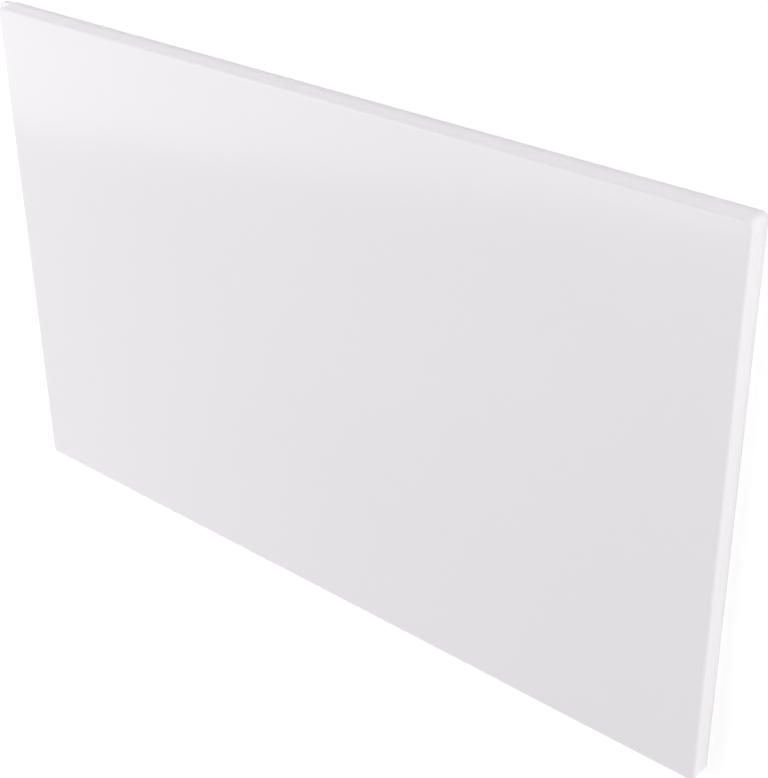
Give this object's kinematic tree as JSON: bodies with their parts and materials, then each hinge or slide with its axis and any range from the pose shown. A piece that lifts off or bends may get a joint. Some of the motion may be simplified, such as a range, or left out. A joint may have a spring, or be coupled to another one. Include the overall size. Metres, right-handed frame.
{
  "type": "bath end panel",
  "caption": "Flat rectangular bath end panel formed in one piece from gloss white sheet, with a shallow rounded edge returned all the way round and a flat tongue along one end.",
  "frame": {"origin": "middle of the footprint, tongue and all, on the plane of the trimmed back edge, which the panel lies on", "axes": "+X along the end of the bath away from the tongue, +Y towards the edge that goes up under the bath rim, +Z out of the front face"},
  "size_m": [0.7, 0.43, 0.018],
  "materials": {
    "white_acrylic": "polished gloss white front and returns, duller on the inside"
  },
  "bodies": {
    "root": {"panel": "white_acrylic"}
  },
  "joints": []
}
